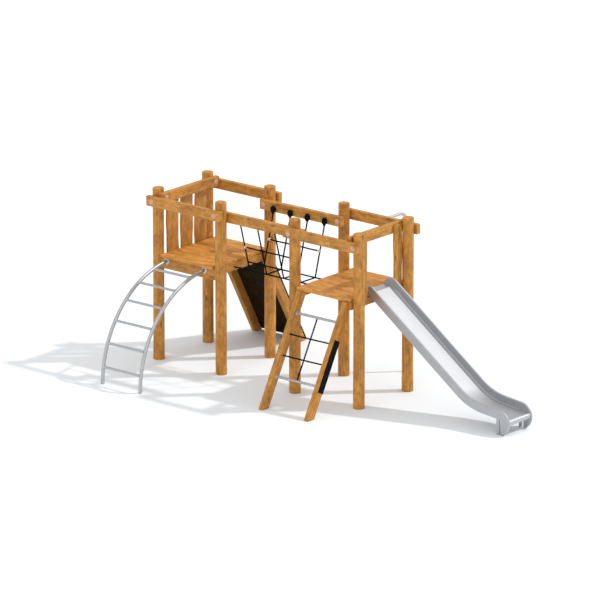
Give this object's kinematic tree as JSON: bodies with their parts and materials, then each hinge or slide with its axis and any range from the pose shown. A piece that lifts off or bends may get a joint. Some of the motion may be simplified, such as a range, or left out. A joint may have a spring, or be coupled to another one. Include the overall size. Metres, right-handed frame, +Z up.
{
  "type": "two-tower climbing unit with slide",
  "caption": "Timber play unit: two roofless towers joined by a rope bridge, with an arch climber, a climbing wall, a rope ladder, a metal slide and a fireman's pole.",
  "frame": {"origin": "on the ground, under the middle of the whole unit's bounding box", "axes": "+X from the arch climber's tower to the slide, +Y from the ladder side to the climbing wall side, +Z up"},
  "size_m": [5.6918, 3.2006, 2.31],
  "materials": {
    "wood_light": "stained, satin",
    "wood_dark": "stained, satin",
    "cap_plastic": "matt",
    "zinc": "galvanised",
    "panel": "matt",
    "hold": "matt",
    "rope": "matt",
    "rubber_black": "matt",
    "alloy": "satin",
    "stainless": "fine brushed"
  },
  "bodies": {
    "root": {"post_a_front_left": "wood_light", "post_a_back_left": "wood_light", "post_a_front_right": "wood_light", "post_a_back_right": "wood_light", "post_b_front_left": "wood_light", "post_b_back_left": "wood_light", "post_b_front_right": "wood_light", "post_b_back_right": "wood_light", "rail_a_front": "wood_light", "rail_a_back": "wood_light", "rail_a_left": "wood_light", "rail_bridge_front": "wood_light", "rail_bridge_back": "wood_light", "rail_b_front": "wood_light", "rail_b_back": "wood_light", "rail_b_right": "wood_light", "planks_a": "wood_light", "planks_b": "wood_light", "ladder_stringer_left": "wood_light", "ladder_stringer_right": "wood_light", "bearer_a_left": "wood_dark", "bearer_a_right": "wood_dark", "bearer_b_left": "wood_dark", "bearer_b_right": "wood_dark", "beam_a_front": "wood_dark", "board_a_1": "wood_dark", "board_a_2": "wood_dark", "board_a_3": "wood_dark", "board_b_1": "wood_dark", "board_b_2": "wood_dark", "wall_stringer_left": "wood_dark", "wall_stringer_right": "wood_dark", "rail_screws": "cap_plastic", "deck_screws": "zinc", "arch_tube_left": "zinc", "arch_tube_right": "zinc", "arch_rungs": "zinc", "arch_flanges": "zinc", "ladder_rungs": "zinc", "pole_tube": "zinc", "pole_flange": "zinc", "wall_panel": "panel", "wall_holds": "hold", "net_hanging_front": "rope", "net_hanging_back": "rope", "net_hand_front": "rope", "net_hand_back": "rope", "net_walk_front": "rope", "net_walk_back": "rope", "net_cross_ropes": "rope", "ladder_ropes": "rope", "ladder_middle_rope": "rope", "net_hangers_front": "rubber_black", "net_hangers_back": "rubber_black", "ladder_covers": "rubber_black", "net_clamps": "alloy", "slide_bed": "stainless", "slide_cheek_left": "stainless", "slide_cheek_right": "stainless", "slide_legs": "stainless"}
  },
  "joints": []
}
